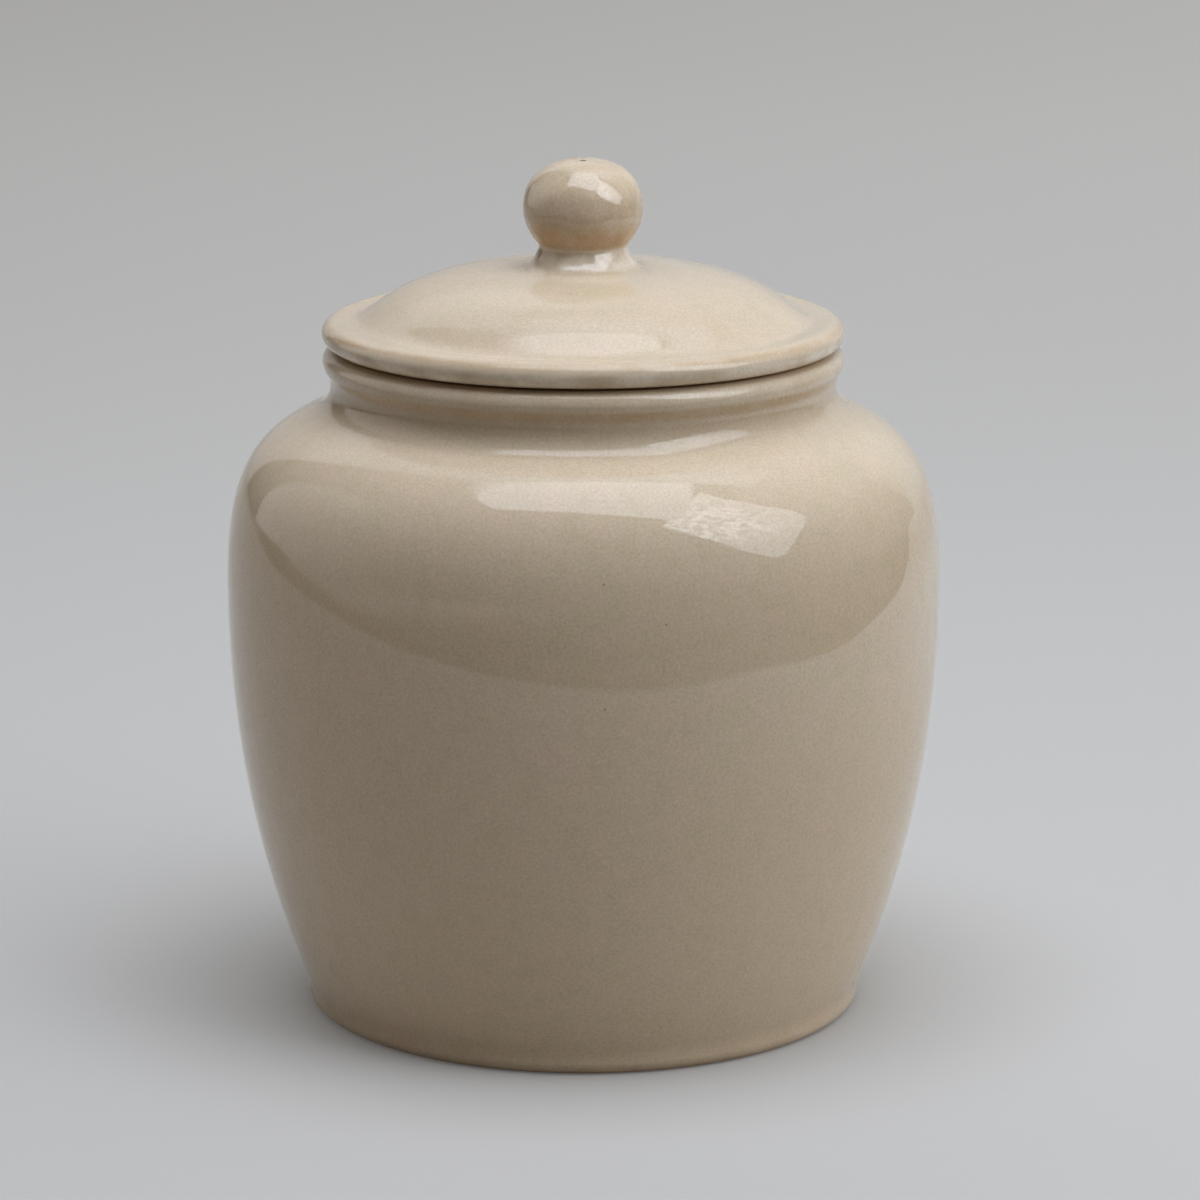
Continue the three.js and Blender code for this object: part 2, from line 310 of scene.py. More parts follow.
def jar_push(angle, height):
    """A trace of ovalness and of the spiral that fingers leave, fading out at the foot and the neck."""
    fade = ease(height, 10, 10 + PUSH_FADE) * ease(-height, -SHOULDER_END[1], PUSH_FADE - SHOULDER_END[1])
    oval = OVAL * np.cos(2 * angle + 0.7) + OVAL_BY_THREES * np.cos(3 * angle - 1.1)
    spiral = FINGER_DEPTH * np.sin(2 * np.pi * height / FINGER_PITCH + angle)
    return fade * (oval + spiral)


jar_profile = jar_outline()
jar_radius, jar_height = jar_profile.T
jar_is_outside = ease(jar_radius, MOUTH_RADIUS - 1, MOUTH_RADIUS + 3)
jar_on_seat = ease(jar_height, SEAT_Z - 0.35, SEAT_Z - 0.05)
jar_on_foot = ease(-jar_height, -1.1, -0.5)
jar_over_bead_foot = jar_height - BEAD_FOOT_Z
# The throat's tan darkens the hollow under the bead: painted shade.
jar_throat = ease(jar_over_bead_foot, -4.2, -2.4) * ease(-jar_over_bead_foot, -0.2, 0.6)
jar_foot_line = 0.3 * ease(-jar_height, -12, -4) + 0.5 * ease(-jar_height, -2.4, -1.2)
jar_bead = ease(jar_over_bead_foot, -0.2, 0.8) * ease(SEAT_Z - jar_height, 0.6, 1.6)
glazed_jar = thrown(
    "glazed_jar",
    jar_profile,
    JAR_SIDES,
    jar_push,
    bare=np.maximum(jar_on_seat, jar_on_foot),
    thin=jar_is_outside * np.maximum(THROAT_SHADE * jar_throat, jar_foot_line),
    pool=BEAD_POOL * jar_is_outside * jar_bead,
)
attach(glazed_jar, "jar")
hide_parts("jar_body")

# %% [markdown]
# ## The lid
#
# A drop-on lid: a rounded edge just over the rim, a shallow gutter, a dome, and below the flat seat a
# flange that keeps it centred in the mouth. It is hollow, like the real one, because a solid lid would
# crack in the kiln.

# %% Sizes of the lid
lid_low, lid_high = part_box("lid")
knob_low, knob_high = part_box("lid_knob")
LID_RADIUS = lid_high.x / MM
CROWN_Z = lid_high.z / MM
FLANGE_TIP_Z = lid_low.z / MM
EDGE_LOWER = 4.2
EDGE_LOWER_WIDTH = 4.0
EDGE_LIFT = 0.45
EDGE_UPPER = 3.7
EDGE_UPPER_WIDTH = 4.4
BORDER_WIDTH = 8.8
BORDER_PULL = 1.5
GUTTER_DIP = 0.2
GUTTER_PULL = 0.12
CROWN_PULL = 0.787
LID_WALL = 6.0
FLANGE_GAP = 1.2
FLANGE_RADIUS = MOUTH_RADIUS - FLANGE_GAP
FLANGE_WALL = 5.5
FLANGE_ROUND = 0.6
HOLLOW_FILLET = 2.5
HOLLOW_DROP = 0.7
KNOB_FOOT_RADIUS = 17.0
KNOB_SEAT_RADIUS = 14.5
KNOB_SEAT_ROUND = 1.5
KNOB_SEAT_Z = knob_low.z / MM
GUTTER_RADIUS = LID_RADIUS - BORDER_WIDTH
GUTTER_Z = SEAT_Z + EDGE_LOWER + EDGE_UPPER - GUTTER_DIP
print("lid radius", round(LID_RADIUS, 2), "crown", round(CROWN_Z, 2), "mm")
print("flange tip", round(FLANGE_TIP_Z, 2), "mm")


# %% Outline of the lid
def dome(steps):
    """The lid's upper side: a Bezier, level at the gutter and at the crown."""
    span = GUTTER_RADIUS - KNOB_FOOT_RADIUS
    return bezier(
        (GUTTER_RADIUS, GUTTER_Z),
        (GUTTER_RADIUS - GUTTER_PULL * span, GUTTER_Z),
        (KNOB_FOOT_RADIUS + CROWN_PULL * span, CROWN_Z),
        (KNOB_FOOT_RADIUS, CROWN_Z),
        steps,
    )


def lid_outline():
    """Hollow, flange, seat, edge, gutter, dome and the knob's shallow seat, from axis to axis."""
    flange_inner = FLANGE_RADIUS - FLANGE_WALL
    underside = dome(48) - (0, LID_WALL)
    hollow = underside[underside[:, 0] < flange_inner - HOLLOW_FILLET][::-1]
    hollow_top = straight((0, CROWN_Z - LID_WALL), (KNOB_FOOT_RADIUS, CROWN_Z - LID_WALL), 6)
    hollow_end = hollow[-1]
    hollow_corner = (flange_inner, hollow_end[1] - HOLLOW_DROP)
    hollow_fillet = corner(hollow_end, hollow_corner, (flange_inner, hollow_corner[1] - HOLLOW_FILLET), 8)
    tip = FLANGE_WALL / 2
    flange_tip = arc((flange_inner + tip, FLANGE_TIP_Z + tip), tip, tip, -180, 0, 24)
    flange_top = (FLANGE_RADIUS, SEAT_Z - FLANGE_ROUND)
    seat_start = (FLANGE_RADIUS + FLANGE_ROUND, SEAT_Z)
    flange_corner = corner(flange_top, (FLANGE_RADIUS, SEAT_Z), seat_start, 4)
    seat = straight(seat_start, (SEAT_RADIUS, SEAT_Z), 6)
    edge_z = SEAT_Z + EDGE_LOWER
    lower_centre = (LID_RADIUS - EDGE_LOWER_WIDTH, edge_z)
    lower_edge = arc(lower_centre, EDGE_LOWER_WIDTH, EDGE_LOWER - EDGE_LIFT, -80, 0, 20)
    upper_centre = (LID_RADIUS - EDGE_UPPER_WIDTH, edge_z)
    upper_edge = arc(upper_centre, EDGE_UPPER_WIDTH, EDGE_UPPER, 0, 90, 16)
    border = bezier(
        upper_edge[-1],
        upper_edge[-1] - (BORDER_PULL, 0),
        (GUTTER_RADIUS + BORDER_PULL, GUTTER_Z),
        (GUTTER_RADIUS, GUTTER_Z),
        16,
    )
    seat_floor = (KNOB_SEAT_RADIUS - KNOB_SEAT_ROUND, KNOB_SEAT_Z)
    knob_seat = corner((KNOB_SEAT_RADIUS, CROWN_Z), (KNOB_SEAT_RADIUS, KNOB_SEAT_Z), seat_floor, 6)
    knob_seat_floor = straight(seat_floor, (0, KNOB_SEAT_Z), 4)
    below = joined(hollow_top, hollow, hollow_fillet, flange_tip, flange_corner, seat)
    return joined(below, lower_edge, upper_edge, border, dome(110), knob_seat, knob_seat_floor)


# %% Throw the lid
LID_SIDES = 240
LIP_THIN = 0.8
LIP_POOL_AND_LIGHT = 2.0
lid_profile = lid_outline()
lid_radius, lid_height = lid_profile.T
lid_below_seat = ease(-lid_height, -SEAT_Z - 0.3, -SEAT_Z - 0.05)
lid_on_lip = ease(lid_radius, LID_RADIUS - 3.4, LID_RADIUS - 1.2)
lid_edge_height = lid_height - SEAT_Z - EDGE_LOWER
lid_tan = LIP_THIN * ease(lid_edge_height, 1.3, 2.3) * ease(-lid_edge_height, -3.5, -2.9)
lid_foot_line = ease(-lid_edge_height, 3.2, 3.9)
# The pale pool on the edge's lower face is partly pooled glaze and partly painted light that lifts its
# shade.
lid_pale = ease(-lid_edge_height, -1.4, 0.4) * (1 - lid_foot_line)
lid_by_flange = ease(lid_radius, FLANGE_RADIUS - FLANGE_WALL, FLANGE_RADIUS - FLANGE_WALL + 1)
glazed_lid = thrown(
    "glazed_lid",
    lid_profile,
    LID_SIDES,
    bare=lid_below_seat * lid_by_flange,
    thin=lid_on_lip * np.maximum(lid_tan, lid_foot_line),
    pool=LIP_POOL_AND_LIGHT * lid_on_lip * lid_pale,
)
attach(glazed_lid, "lid")
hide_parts("lid")

# %% [markdown]
# ## The knob
#
# A ball thrown on its own and luted to the lid with slip. Its foot flares out and dies away on the dome,
# so the outline ends flat on the lid's crown. A pin-hole in the top lets air out of the hollow in the
# kiln.

# %% Sizes of the knob
KNOB_RADIUS = 17.54
KNOB_UNDER_BOX = 0.1
KNOB_TOP_Z = knob_high.z / MM - KNOB_UNDER_BOX
BALL_Z = CROWN_Z + 17.47
WAIST_Z = CROWN_Z + 6.73
WAIST_RADIUS = 12.93
WAIST_ROUND = 0.9
WAIST_PULL = np.array([0.5, -2.2])
FLARE_RADIUS = 19.0
FLARE_PULL = 3.6
FLARE_SUNK = 0.06
KNOB_FOOT_ROUND = 1.0
KNOB_FOOT_SUNK = 0.2
UNDER_LEAN = np.array([0.62, 0.785])
UNDER_PULL = 3.16
BALL_LOWER_PULL = 0.455
BALL_UPPER_PULL = 0.609
BALL_TOP_PULL = 0.60
VENT_RADIUS = 1.0
VENT_ROUND = 0.3
VENT_ANGLE = 86
KNOB_WALL = 5.0
print("knob", round(2 * KNOB_RADIUS, 2), "mm across, top at", round(KNOB_TOP_Z, 2), "mm")


# %% Outline of the knob
def knob_outline():
    """Foot, flare, tight waist, ball, vent and hollow, from axis to axis."""
    lower = BALL_Z - WAIST_Z
    upper = KNOB_TOP_Z - BALL_Z
    waist = np.array([WAIST_RADIUS, WAIST_Z])
    flare_end = (FLARE_RADIUS, CROWN_Z - FLARE_SUNK)
    flare_pull = (FLARE_RADIUS - FLARE_PULL, CROWN_Z)
    flare = bezier(flare_end, flare_pull, waist + WAIST_PULL, waist - (0, WAIST_ROUND), 24)
    foot = straight((0, KNOB_SEAT_Z), (KNOB_SEAT_RADIUS - KNOB_FOOT_ROUND, KNOB_SEAT_Z), 6)
    foot_edge = corner(foot[-1], (KNOB_SEAT_RADIUS, CROWN_Z - KNOB_FOOT_SUNK), flare[0], 4)
    under = bezier(
        waist + WAIST_ROUND * UNDER_LEAN,
        waist + UNDER_PULL * UNDER_LEAN,
        (KNOB_RADIUS, BALL_Z - BALL_LOWER_PULL * lower),
        (KNOB_RADIUS, BALL_Z),
        28,
    )
    crease = corner(flare[-1], waist, under[0], 8)
    vent_rim = VENT_RADIUS + VENT_ROUND
    crown = bezier(
        (KNOB_RADIUS, BALL_Z),
        (KNOB_RADIUS, BALL_Z + BALL_UPPER_PULL * upper),
        (vent_rim + BALL_TOP_PULL * (KNOB_RADIUS - vent_rim), KNOB_TOP_Z),
        (vent_rim, KNOB_TOP_Z),
        44,
    )
    vent_side = (VENT_RADIUS, KNOB_TOP_Z - VENT_ROUND)
    vent_edge = corner((vent_rim, KNOB_TOP_Z), (VENT_RADIUS, KNOB_TOP_Z), vent_side, 5)
    hollow_radius = KNOB_RADIUS - KNOB_WALL
    hollow_top = arc((0, BALL_Z), hollow_radius, upper - KNOB_WALL, VENT_ANGLE, 0, 14)
    hollow_floor = arc((0, BALL_Z), hollow_radius, lower - KNOB_WALL, 0, -90, 12)
    hollow_floor[-1, 0] = 0
    return joined(foot, foot_edge, flare, crease, under, crown, vent_edge, hollow_top, hollow_floor)


# %% Throw the knob
KNOB_SIDES = 144
BALL_THIN = 0.30
BALL_FOOT_THIN_AND_SHADE = 1.3
FLARE_POOL_AND_LIGHT = 1.9
knob_profile = knob_outline()
knob_height = knob_profile[:, 1]
knob_on_ball = ease(knob_height, WAIST_Z - 0.5, WAIST_Z + 1)
# The extra tan under the ball is partly thin glaze and partly painted shade.
knob_lower_ball = ease(-knob_height, -BALL_Z - 1, -WAIST_Z - 3)
# The pale pool on the flare is partly pooled glaze and partly painted light that lifts the shade under the
# ball.
knob_below_waist = ease(-knob_height, -WAIST_Z - 0.3, -WAIST_Z + 0.8)
ball_knob = thrown(
    "ball_knob",
    knob_profile,
    KNOB_SIDES,
    bare=np.zeros(len(knob_profile)),
    thin=knob_on_ball * (BALL_THIN + BALL_FOOT_THIN_AND_SHADE * knob_lower_ball),
    pool=FLARE_POOL_AND_LIGHT * knob_below_waist * ease(knob_height, CROWN_Z + 0.1, CROWN_Z + 2.4),
)
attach(ball_knob, "lid")
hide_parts("lid_knob")

# %% The vent is pierced a little to the front
VENT_FORWARD = 3.2
VENT_NEAR = 2.5
VENT_REACH = 9.0
knob_equator = int(np.argmax(knob_profile[:, 0] * (knob_height > WAIST_Z)))
knob_crown = knob_profile[knob_equator:int(np.argmax(knob_height)) + 1]


def crown_height(radius):
    """Height of the ball's upper half over a radius: the outline from equator to vent, read across."""
    return np.interp(radius, knob_crown[::-1, 0], knob_crown[::-1, 1])


spots = np.empty(3 * len(ball_knob.data.vertices), np.float32)
ball_knob.data.vertices.foreach_get("co", spots)
spots = spots.reshape(-1, 3) / MM
before = np.hypot(spots[:, 0], spots[:, 1])
share = (1 - ease(before, VENT_NEAR, VENT_REACH)) * ease(spots[:, 2], BALL_Z, BALL_Z + 2)
spots[:, 1] -= VENT_FORWARD * share
after = np.hypot(spots[:, 0], spots[:, 1])
spots[:, 2] += crown_height(after) - crown_height(before)
ball_knob.data.vertices.foreach_set("co", (spots * MM).ravel())
print("vent", VENT_FORWARD, "mm to the front")

# %% [markdown]
# ## Shader maths as plain expressions
#
# A material is a graph of nodes. Wiring it by hand hides the formula, so a small class wraps a socket:
# adding or multiplying two of them adds the Math node, and its one method adds any other node.


# %% A socket with operators
class Wire:
    """An output socket. Sums, differences and products of wires and numbers add Math nodes."""

    def __init__(self, socket):
        self.socket = socket

    def node(self, kind, settings=None, output=None, **inputs):
        """Adds a node of this kind: its settings first, then a value or a wire for each named socket."""
        tree = self.socket.id_data
        node = tree.nodes.new(kind)
        for key, value in (settings or {}).items():
            setattr(node, key, value)
        for key, value in inputs.items():
            name = key.replace("_", " ")
            sockets = [socket for socket in node.inputs if socket.enabled and socket.name == name]
            plug(value, sockets[0])
        sockets = [socket for socket in node.outputs if socket.enabled and output in (None, socket.name)]
        return Wire(sockets[0])

    def math(self, operation, first, second):
        """One Math node with this operation on two values."""
        node = self.socket.id_data.nodes.new("ShaderNodeMath")
        node.operation = operation
        plug(first, node.inputs[0])
        plug(second, node.inputs[1])
        return Wire(node.outputs[0])

    def __add__(self, other):
        return self.math("ADD", self, other)

    def __radd__(self, other):
        return self.math("ADD", other, self)

    def __sub__(self, other):
        return self.math("SUBTRACT", self, other)

    def __rsub__(self, other):
        return self.math("SUBTRACT", other, self)

    def __mul__(self, other):
        return self.math("MULTIPLY", self, other)

    def __rmul__(self, other):
        return self.math("MULTIPLY", other, self)


def plug(value, socket):
    """Links a wire to a socket, or sets a plain value on it."""
    if isinstance(value, Wire):
        socket.id_data.links.new(value.socket, socket)
    else:
        socket.default_value = value


# %% Masks, noise and colour
def ramp(value, low, high):
    """0 below low and 1 above high, with the same smooth step as ease."""
    settings = {"interpolation_type": "SMOOTHSTEP"}
    return value.node("ShaderNodeMapRange", settings, Value=value, From_Min=low, From_Max=high)


def noise(place, size, detail=2.0, roughness=0.5):
    """Soft noise about 0.5 whose lumps are about this many millimetres apart."""
    scale = 1 / (size * MM)
    return place.node("ShaderNodeTexNoise", Vector=place, Scale=scale, Detail=detail, Roughness=roughness)


def split(place):
    """The three parts of a place or a direction."""
    parts = place.node("ShaderNodeSeparateXYZ", Vector=place).socket.node
    return [Wire(socket) for socket in parts.outputs]


def mix(factor, first, second):
    """The first colour where the factor is 0 and the second where it is 1."""
    return factor.node("ShaderNodeMix", {"data_type": "RGBA"}, Factor=factor, A=first, B=second)


def grey(value):
    """A value as a colour of three equal parts."""
    return value.node("ShaderNodeCombineColor", Red=value, Green=value, Blue=value)


def scaled(value, colour):
    """A colour times a value."""
    settings = {"data_type": "RGBA", "blend_type": "MULTIPLY"}
    return value.node("ShaderNodeMix", settings, Factor=1.0, A=colour, B=grey(value))


def mark(place, name):
    """A value that the wheel stored along the outline."""
    return place.node("ShaderNodeAttribute", {"attribute_name": name}, "Fac")


def srgb(red, green, blue):
    """A colour as a picture shows it, 0 to 255, as the linear colour that a shader takes."""
    c = np.array([red, green, blue]) / 255
    linear = np.where(c <= 0.04045, c / 12.92, ((c + 0.055) / 1.055) ** 2.4)
    return (*linear.tolist(), 1.0)


# %% [markdown]
# ## The glaze
#
# A glossy beige stoneware glaze. Close up it has a fine grain and faint blotches, olive and pinkish, and
# a few iron specks. It breaks to tan on edges and pools paler in hollows. The foot ring and the seats are
# bare clay. The knob's glaze is the thickest, so it is glossier and a little lumpy. The same tan also
# paints shade into the hollow under the jar's bead and under the knob's ball, and the same pale colour
# paints light onto the knob's flare and the lower face of the lid's edge.

# %% Glaze colours
BEIGE = srgb(210, 192, 167)
OLIVE = srgb(206, 189, 161)
PINKISH = srgb(215, 192, 169)
TAN = srgb(183, 146, 105)
POOLED_AND_LIT = srgb(236, 223, 204)
CLAY = srgb(196, 158, 118)
IRON = srgb(128, 104, 80)
SPECKS_PER_METRE = 55.0
print("beige as a linear colour", np.round(BEIGE[:3], 3))


# %% Glaze material
def glaze(name, lumps, gloss):
    """Base colour, roughness, orange peel and the hand's lumps, from the place on a piece and its marks."""
    material = bpy.data.materials.new(name)
    material.use_nodes = True
    nodes = material.node_tree.nodes
    shader = nodes["Principled BSDF"]
    place = Wire(nodes.new("ShaderNodeTexCoord").outputs["Object"])
    blotch = noise(place, 6, 4)
    tint = noise(place, 11, 3)
    grain = noise(place, 0.75, 2, 0.6)
    bare = ramp(mark(place, "bare") + 0.5 * (noise(place, 4) - 0.5), 0.4, 0.6)
    thin = mark(place, "thin") * ramp(noise(place, 9, 3), 0.2, 0.7)
    pool = mark(place, "pool") * ramp(noise(place, 12, 2), 0.3, 0.6)
    colour = mix(ramp(blotch, 0.35, 0.75), BEIGE, OLIVE)
    colour = mix(0.6 * ramp(tint, 0.45, 0.8), colour, PINKISH)
    # Tan: thin glaze, and painted shade in the jar's throat and under the knob's ball.
    colour = mix(0.55 * thin, colour, TAN)
    # Pale pool: pooled glaze, and painted light on the knob's flare and the lid edge's lower face.
    colour = mix(0.5 * pool, colour, POOLED_AND_LIT)
    speck = place.node("ShaderNodeTexVoronoi", None, "Distance", Vector=place, Scale=SPECKS_PER_METRE)
    colour = mix(0.8 - 0.8 * ramp(speck, 0.010, 0.020), colour, IRON)
    colour = mix(bare, colour, CLAY)
    colour = scaled(0.74 + 0.52 * grain, colour)
    roughness = 0.02 + 0.03 * noise(place, 6) + 0.7 * bare
    height = noise(place, 3, 1) + lumps * noise(place, 8, 1) + 6.0 * bare * noise(place, 0.5)
    normal = height.node("ShaderNodeBump", Strength=0.15, Distance=0.00002, Height=height)
    shader.inputs["Specular IOR Level"].default_value = gloss
    plug(colour, shader.inputs["Base Color"])
    plug(roughness, shader.inputs["Roughness"])
    plug(normal, shader.inputs["Normal"])
    print(name, len(nodes), "nodes")
    return material


glazed_jar.data.materials.append(glaze("jar_glaze_finish", 0, 0.5))
glazed_lid.data.materials.append(glaze("lid_glaze_finish", 0, 0.5))
ball_knob.data.materials.append(glaze("knob_glaze_finish", 300, 0.78))

# %% [markdown]
# ## Floor
#
# The jar stands on a wide pale sheet whose front edge is rounded. Beyond that edge the studio is dark,
# which is what a glossy jar mirrors as a brown crescent. The camera sees a pale floor everywhere, so that
# views from other sides have it too, and only the mirrored and the bounced light see the sheet end. To
# the left the lit foot of a white panel shows in the mirror. The colour that each kind of ray sees is set
# apart.

# %% Levels of the floor, and the sheet's edge in metres
FLOOR_SEEN = (0.465, 0.455, 0.440, 1)
FLOOR_MIRRORED = (0.50, 0.49, 0.47, 1)
FLOOR_MIRRORED_RIGHT = (0.72, 0.73, 0.74, 1)
FLOOR_BOUNCE = (0.412, 0.383, 0.341, 1)
PAST_EDGE = (0, 0, 0, 1)
FLOOR_GLOW = 0.055
FLOOR_GLOW_BEHIND = 0.195
PANEL_FOOT = 0.34
SHEET_FRONT = -0.505
SHEET_ROUND = 0.66
SHEET_MIDDLE = -0.08
SHEET_RIGHT = 0.40
SHEET_SIDE_SLOPE = 0.858
SHEET_SIDE_START = -0.197
SHEET_FADE = 0.006
PANEL_LINE = -0.93
PANEL_LINE_SLOPE = -0.6
FLOOR_GLOW_ACROSS = 0.06
print("sheet reaches", -SHEET_FRONT, "m to the front")

# %% Floor
FLOOR_REACH = 8000
floor = thrown("floor", straight((FLOOR_REACH, 0), (0, 0), 8), 96)
floor_material = bpy.data.materials.new("pale_floor")
floor_material.use_nodes = True
floor_nodes = floor_material.node_tree.nodes
floor_shader = floor_nodes["Principled BSDF"]
floor_shader.inputs["Roughness"].default_value = 0.9
floor_shader.inputs["Specular IOR Level"].default_value = 0.1
floor_place = Wire(floor_nodes.new("ShaderNodeTexCoord").outputs["Object"])
floor_rays = floor_nodes.new("ShaderNodeLightPath")
floor_seen = Wire(floor_rays.outputs["Is Camera Ray"])
floor_mirrored = Wire(floor_rays.outputs["Is Glossy Ray"])
floor_x, floor_y, _ = split(floor_place)

# %% Where the sheet ends
from_middle = floor_x - SHEET_MIDDLE
sheet_front = SHEET_FRONT + SHEET_ROUND * from_middle * from_middle
sheet_front = sheet_front + SHEET_RIGHT * ramp(from_middle, 0.5, 0.88)
sheet_side = SHEET_SIDE_START + SHEET_SIDE_SLOPE * floor_x.math("ABSOLUTE", floor_x, 0)
past_edge = floor_x.math("MINIMUM", sheet_front, sheet_side) - floor_y
on_sheet = floor_seen + (1 - floor_seen) * ramp(past_edge, SHEET_FADE, 0.0)

# %% Colour and glow of the floor
right_front = ramp(floor_x, 0.2, 0.5) * ramp(floor_y, 1.0, 0.3)
mirrored_colour = mix(right_front, FLOOR_MIRRORED, FLOOR_MIRRORED_RIGHT)
floor_colour = mix(floor_seen, mix(floor_mirrored, FLOOR_BOUNCE, mirrored_colour), FLOOR_SEEN)
plug(mix(on_sheet, PAST_EDGE, floor_colour), floor_shader.inputs["Base Color"])
behind = ramp(floor_y, -0.6, 2.1)
floor_glow = FLOOR_GLOW + behind * (FLOOR_GLOW_BEHIND + FLOOR_GLOW_ACROSS * floor_x)
past_foot = PANEL_LINE + PANEL_LINE_SLOPE * floor_x - floor_y
panel_foot = PANEL_FOOT * ramp(past_foot, 0.0, 0.02) * ramp(0 - floor_x, 0.4, 1.3)
panel_foot = panel_foot * (1 - on_sheet) * floor_mirrored
floor_glow = floor_glow * (floor_seen + floor_mirrored) * on_sheet + panel_foot
plug(grey(floor_glow), floor_shader.inputs["Emission Color"])
floor_shader.inputs["Emission Strength"].default_value = 1.0
floor.data.materials.append(floor_material)
print("floor of", len(floor_nodes), "nodes")

# %% [markdown]
# ## Studio
#
# A pale backdrop stands behind the jar, a white panel to the left, and more light comes from the right.
# The rest of the studio is dark in the mirror, with a faint warm fill that only soft light sees. The
# world says all this by direction: azimuth is 0 towards the front and grows to the right, and elevation
# grows upwards. A photograph of a studio would do the same, but levels with names are easier to follow.

# %% Levels of the studio
BACKDROP_LEFT = (0.42, 0.41, 0.41, 1)
BACKDROP_RIGHT = (0.42, 0.445, 0.46, 1)
BACKDROP_RIGHT_END = (0.62, 0.65, 0.66, 1)
BACKDROP_HIGH = (0.70, 0.73, 0.76, 1)
BACKDROP_HIGH_RIGHT = (0.40, 0.45, 0.50, 1)
STUDIO_DARK = (0.004, 0.004, 0.004, 1)
STUDIO_FILL = (0.076, 0.060, 0.042, 1)
LEFT_FILL = (0.20, 0.18, 0.15, 1)
PANEL = (0.33, 0.31, 0.28, 1)
PANEL_MIRRORED = (0.60, 0.60, 0.58, 1)
RIGHT_LOW = (1.64, 1.60, 1.56, 1)
RIGHT_LOW_MIRRORED = (0.2, 0.2, 0.2, 1)
RIGHT_HIGH = (0.5, 0.5, 0.5, 1)
SKY_SEEN = (0.5, 0.5, 0.5, 1)
print("studio fill", STUDIO_FILL[:3])

# %% Edges of the backdrop and the panel
DEGREE = np.radians(1)
BACKDROP_LEFT_EDGE = 152 * DEGREE
BACKDROP_LEFT_LEAN = 0.27
BACKDROP_RIGHT_EDGE = 138 * DEGREE
BACKDROP_RIGHT_LEAN = 0.4
BACKDROP_FADE = 0.4 * DEGREE
PANEL_START = 95 * DEGREE
PANEL_WIDTH = 39 * DEGREE
PANEL_HEIGHT = 42 * DEGREE
world = bpy.data.worlds.new("studio")
world.use_nodes = True
bpy.context.scene.world = world
sky_nodes = world.node_tree.nodes
way = Wire(sky_nodes.new("ShaderNodeTexCoord").outputs["Generated"])
rays = sky_nodes.new("ShaderNodeLightPath")
seen = Wire(rays.outputs["Is Camera Ray"])
mirrored = Wire(rays.outputs["Is Glossy Ray"])
across, away, up = split(way)
azimuth = way.math("ARCTAN2", across, 0 - away)
elevation = way.math("ARCSINE", up, 0)
over_floor = way.math("MAXIMUM", elevation, 0)
left_edge = BACKDROP_LEFT_EDGE - BACKDROP_LEFT_LEAN * over_floor
right_edge = BACKDROP_RIGHT_EDGE - BACKDROP_RIGHT_LEAN * over_floor
behind_left = ramp(0 - azimuth - left_edge, -BACKDROP_FADE, BACKDROP_FADE)
behind_right = ramp(azimuth - right_edge, -BACKDROP_FADE, BACKDROP_FADE)
panel_side = (1 / PANEL_WIDTH) * way.math("MAXIMUM", 0 - azimuth - PANEL_START, 0)
panel_rise = (1 / PANEL_HEIGHT) * elevation
panel_edge = ramp(panel_side * panel_side + panel_rise * panel_rise, 1.02, 0.98)
panel_fade = ramp(0 - azimuth, 50 * DEGREE, 105 * DEGREE)

# %% World
high = ramp(elevation, 20 * DEGREE, 32 * DEGREE)
top = ramp(elevation, 56 * DEGREE, 70 * DEGREE)
right = ramp(azimuth, 50 * DEGREE, 80 * DEGREE) * (1 - top)
left = ramp(0 - azimuth, 0, 50 * DEGREE) * ramp(elevation, 10 * DEGREE, 30 * DEGREE) * (1 - top)
fill = mix(mirrored, mix(left, STUDIO_FILL, LEFT_FILL), STUDIO_DARK)
sky = mix(right, fill, mix(high, mix(mirrored, RIGHT_LOW, RIGHT_LOW_MIRRORED), RIGHT_HIGH))
sky = mix(panel_edge * panel_fade, sky, mix(mirrored, PANEL, PANEL_MIRRORED))
sky = mix(behind_left * (1 - top), sky, mix(high, BACKDROP_LEFT, BACKDROP_HIGH))
right_low = mix(ramp(azimuth, 168 * DEGREE, 148 * DEGREE), BACKDROP_RIGHT, BACKDROP_RIGHT_END)
sky = mix(behind_right * (1 - top), sky, mix(high, right_low, BACKDROP_HIGH_RIGHT))
sky = mix(seen, sky, SKY_SEEN)
plug(sky, sky_nodes["Background"].inputs["Color"])
print("world of", len(sky_nodes), "nodes")

# %% [markdown]
# ## Light cards
#
# A wide softbox hangs over the jar, and another stands to the front right. Both are large, so the shadow
# is soft and lies to the left. They are flat glowing cards, which the camera itself doesn't see: an area
# lamp could only be a true rectangle, and the real ones show in the glaze as slanted shapes with a faded
# edge. A card's level in the mirror is set apart from the light that it gives, and the side card has
# bright veins there.


# %% Levels of the softboxes, and a card
OVERHEAD_LIGHT = (4.92, 5.20, 5.74, 1)
OVERHEAD_MIRRORED = (2.70, 2.90, 3.20, 1)
OVERHEAD_REAR = (0.0, 0.0, 0.0, 1)
OVERHEAD_REAR_MIRRORED = (1.20, 1.32, 1.50, 1)
OVERHEAD_END = (0.35, 0.35, 0.36, 1)
SIDE_LIGHT = (1.80, 1.89, 2.00, 1)
OVERHEAD_HEIGHT = 1.66


def card(name, corners):
    """A flat card of one face through its corners in order, with a glow that the next cells shape."""
    mesh = bpy.data.meshes.new(name)
    mesh.from_pydata([tuple(point) for point in corners], [], [tuple(range(len(corners)))])
    material = bpy.data.materials.new(name + "_glow")
    material.use_nodes = True
    mesh.materials.append(material)
    box = bpy.data.objects.new(name, mesh)
    box.visible_camera = False
    bpy.context.scene.collection.objects.link(box)
    print(name, "of", len(corners), "corners")
    return material.node_tree.nodes


